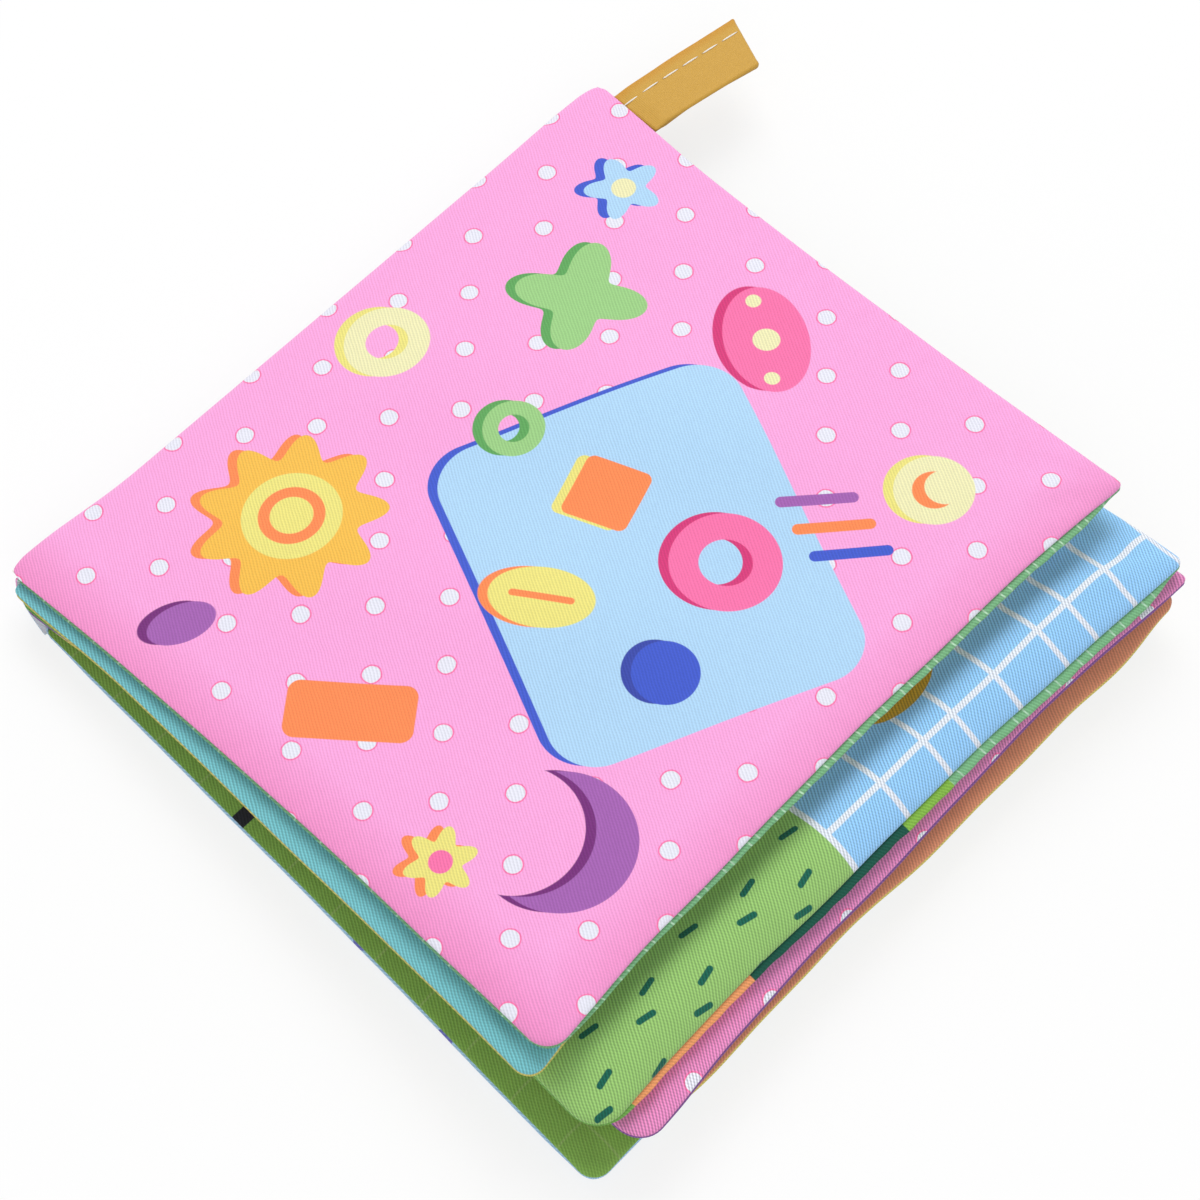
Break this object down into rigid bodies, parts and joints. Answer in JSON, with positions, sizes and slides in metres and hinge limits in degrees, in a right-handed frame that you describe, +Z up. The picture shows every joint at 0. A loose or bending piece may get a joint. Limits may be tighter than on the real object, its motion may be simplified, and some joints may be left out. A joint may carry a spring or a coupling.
{
  "type": "crinkle cloth book",
  "caption": "Square padded cloth baby book with leaves that fan from a folded sewn spine, crinkle film inside, and a tape loop at its head.",
  "frame": {"origin": "middle of the back cover's flat underside, on the surface that the closed book lies on", "axes": "+X from the spine towards the fore-edge, +Y from the tail to the head with the tape loop, +Z up out of the closed book towards the front cover"},
  "size_m": [0.1549, 0.1848, 0.0274],
  "materials": {
    "pink_dot_cotton": "printed cotton twill with pale polka dots",
    "mint_cotton": "printed cotton twill with pale crossing lines",
    "teal_cotton": "printed cotton twill",
    "yellow_cotton": "printed cotton twill",
    "sky_grass_cotton": "printed cotton twill, sky blue check over a grass green half",
    "purple_cotton": "printed cotton twill",
    "salmon_cotton": "printed cotton twill",
    "olive_cotton": "printed cotton twill with faint grid lines",
    "light_blue_cotton": "printed cotton twill",
    "loop_tape": "woven tape with white running stitch",
    "seam_thread": "twisted sewing thread",
    "wadding": "needled polyester wadding",
    "crinkle_film": "thin clear film, crinkled"
  },
  "bodies": {
    "back_cover": {"back_cover_upper_cloth": "olive_cotton", "back_cover_crinkle_film": "crinkle_film", "back_cover_wadding": "wadding", "back_cover_lower_cloth": "light_blue_cotton", "spine_seam_thread": "seam_thread", "spine_fold_1": "light_blue_cotton"},
    "leaf_5": {"leaf_5_upper_cloth": "salmon_cotton", "leaf_5_crinkle_film": "crinkle_film", "leaf_5_wadding": "wadding", "leaf_5_lower_cloth": "yellow_cotton", "spine_fold_2": "light_blue_cotton"},
    "leaf_4": {"leaf_4_upper_cloth": "pink_dot_cotton", "leaf_4_crinkle_film": "crinkle_film", "leaf_4_wadding": "wadding", "leaf_4_lower_cloth": "purple_cotton", "spine_fold_3": "pink_dot_cotton"},
    "leaf_3": {"leaf_3_upper_cloth": "sky_grass_cotton", "leaf_3_crinkle_film": "crinkle_film", "leaf_3_wadding": "wadding", "leaf_3_lower_cloth": "mint_cotton", "spine_fold_4": "pink_dot_cotton"},
    "leaf_2": {"leaf_2_upper_cloth": "teal_cotton", "leaf_2_crinkle_film": "crinkle_film", "leaf_2_wadding": "wadding", "leaf_2_lower_cloth": "yellow_cotton", "spine_fold_5": "pink_dot_cotton"},
    "front_cover": {"front_cover_upper_cloth": "pink_dot_cotton", "front_cover_crinkle_film": "crinkle_film", "front_cover_wadding": "wadding", "front_cover_lower_cloth": "mint_cotton"},
    "hanging_loop": {"hanging_loop": "loop_tape"}
  },
  "joints": [
    {"name": "leaf_5_hinge", "type": "hinge", "parent": "back_cover", "child": "leaf_5", "pos_m": [-0.07811, 0.00195, 0.00576], "axis": [0, -1, 0], "range_deg": [0, 34.2], "deforming": ["spine_fold_1"]},
    {"name": "leaf_4_hinge", "type": "hinge", "parent": "leaf_5", "child": "leaf_4", "pos_m": [-0.07811, 0.00195, 0.00576], "axis": [0, -1, 0], "range_deg": [0, 34.2], "deforming": ["spine_fold_2"]},
    {"name": "leaf_3_hinge", "type": "hinge", "parent": "leaf_4", "child": "leaf_3", "pos_m": [-0.07811, 0.00195, 0.00576], "axis": [0, -1, 0], "range_deg": [0, 34.2], "deforming": ["spine_fold_3"]},
    {"name": "leaf_2_hinge", "type": "hinge", "parent": "leaf_3", "child": "leaf_2", "pos_m": [-0.07811, 0.00195, 0.00576], "axis": [0, -1, 0], "range_deg": [0, 34.2], "deforming": ["spine_fold_4"]},
    {"name": "front_cover_hinge", "type": "hinge", "parent": "leaf_2", "child": "front_cover", "pos_m": [-0.07811, 0.00195, 0.00576], "axis": [0, -1, 0], "range_deg": [0, 34.2], "deforming": ["spine_fold_5"]},
    {"name": "hanging_loop_flex", "type": "hinge", "parent": "front_cover", "child": "hanging_loop", "pos_m": [-0.07076, 0.07914, 0.01166], "axis": [-0.9936, 0, -0.1133], "range_deg": [-60, 15], "stiffness_Nm_per_rad": 0.002}
  ]
}
